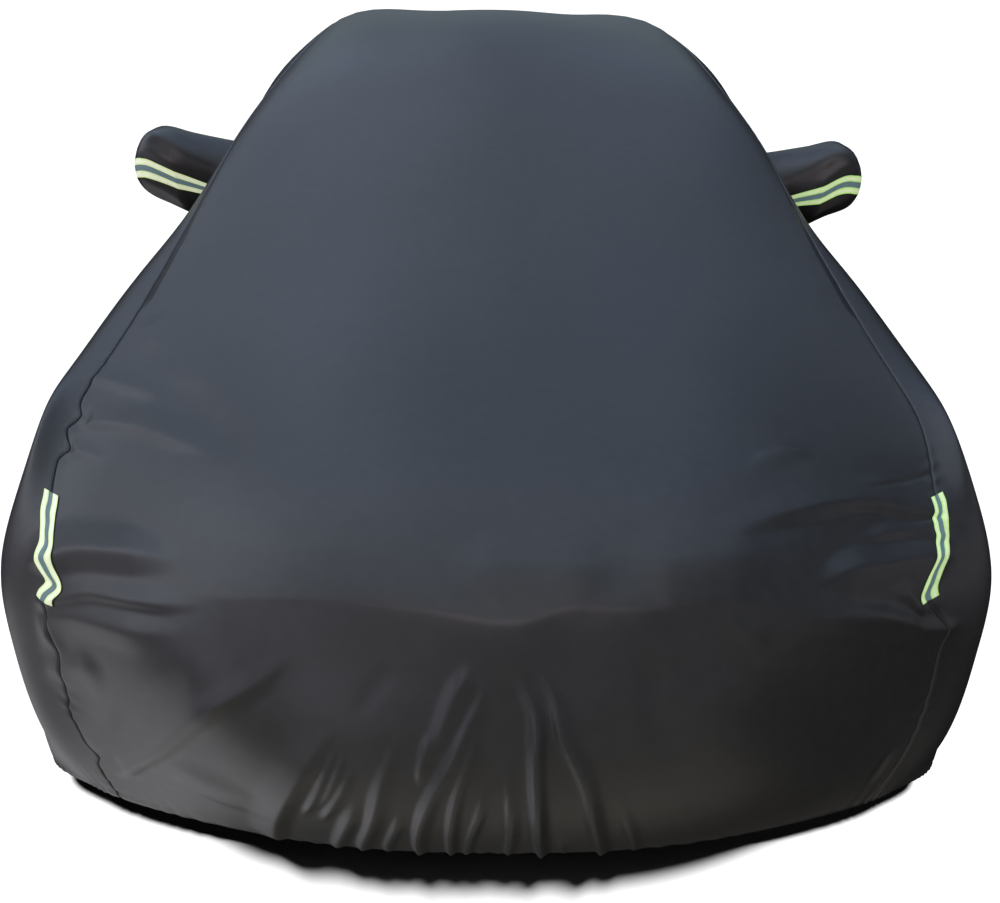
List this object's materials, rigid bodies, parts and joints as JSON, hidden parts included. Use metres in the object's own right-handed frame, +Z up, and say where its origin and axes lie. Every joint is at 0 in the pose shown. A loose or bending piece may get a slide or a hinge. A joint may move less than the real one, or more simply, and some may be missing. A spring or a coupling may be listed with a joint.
{
  "type": "car cover",
  "caption": "Fitted outdoor cover of dark coated cloth, draped to the shape of a saloon car, with elastic hem, mirror pockets and reflective strips",
  "frame": {"origin": "mount car_roof, on the underside of the cloth at the middle of the roof", "axes": "+Y to the rear of the car, +Z up, +X to the right of someone who looks at the car's front; the front hem is towards -Y"},
  "size_m": [2.024, 4.8679, 1.2848],
  "materials": {
    "top_cloth": "satin charcoal coated cloth",
    "side_cloth": "satin charcoal coated cloth",
    "pocket_cloth": "satin charcoal coated cloth",
    "reflective_tape": "lime tape with a silver-grey reflective band along its middle"
  },
  "bodies": {
    "root": {"top_panel": "top_cloth", "side_panel_left": "side_cloth", "side_panel_right": "side_cloth", "mirror_pocket_left": "pocket_cloth", "mirror_pocket_right": "pocket_cloth", "strip_front_left": "reflective_tape", "strip_front_right": "reflective_tape", "strip_mirror_left": "reflective_tape", "strip_mirror_right": "reflective_tape"}
  },
  "joints": []
}
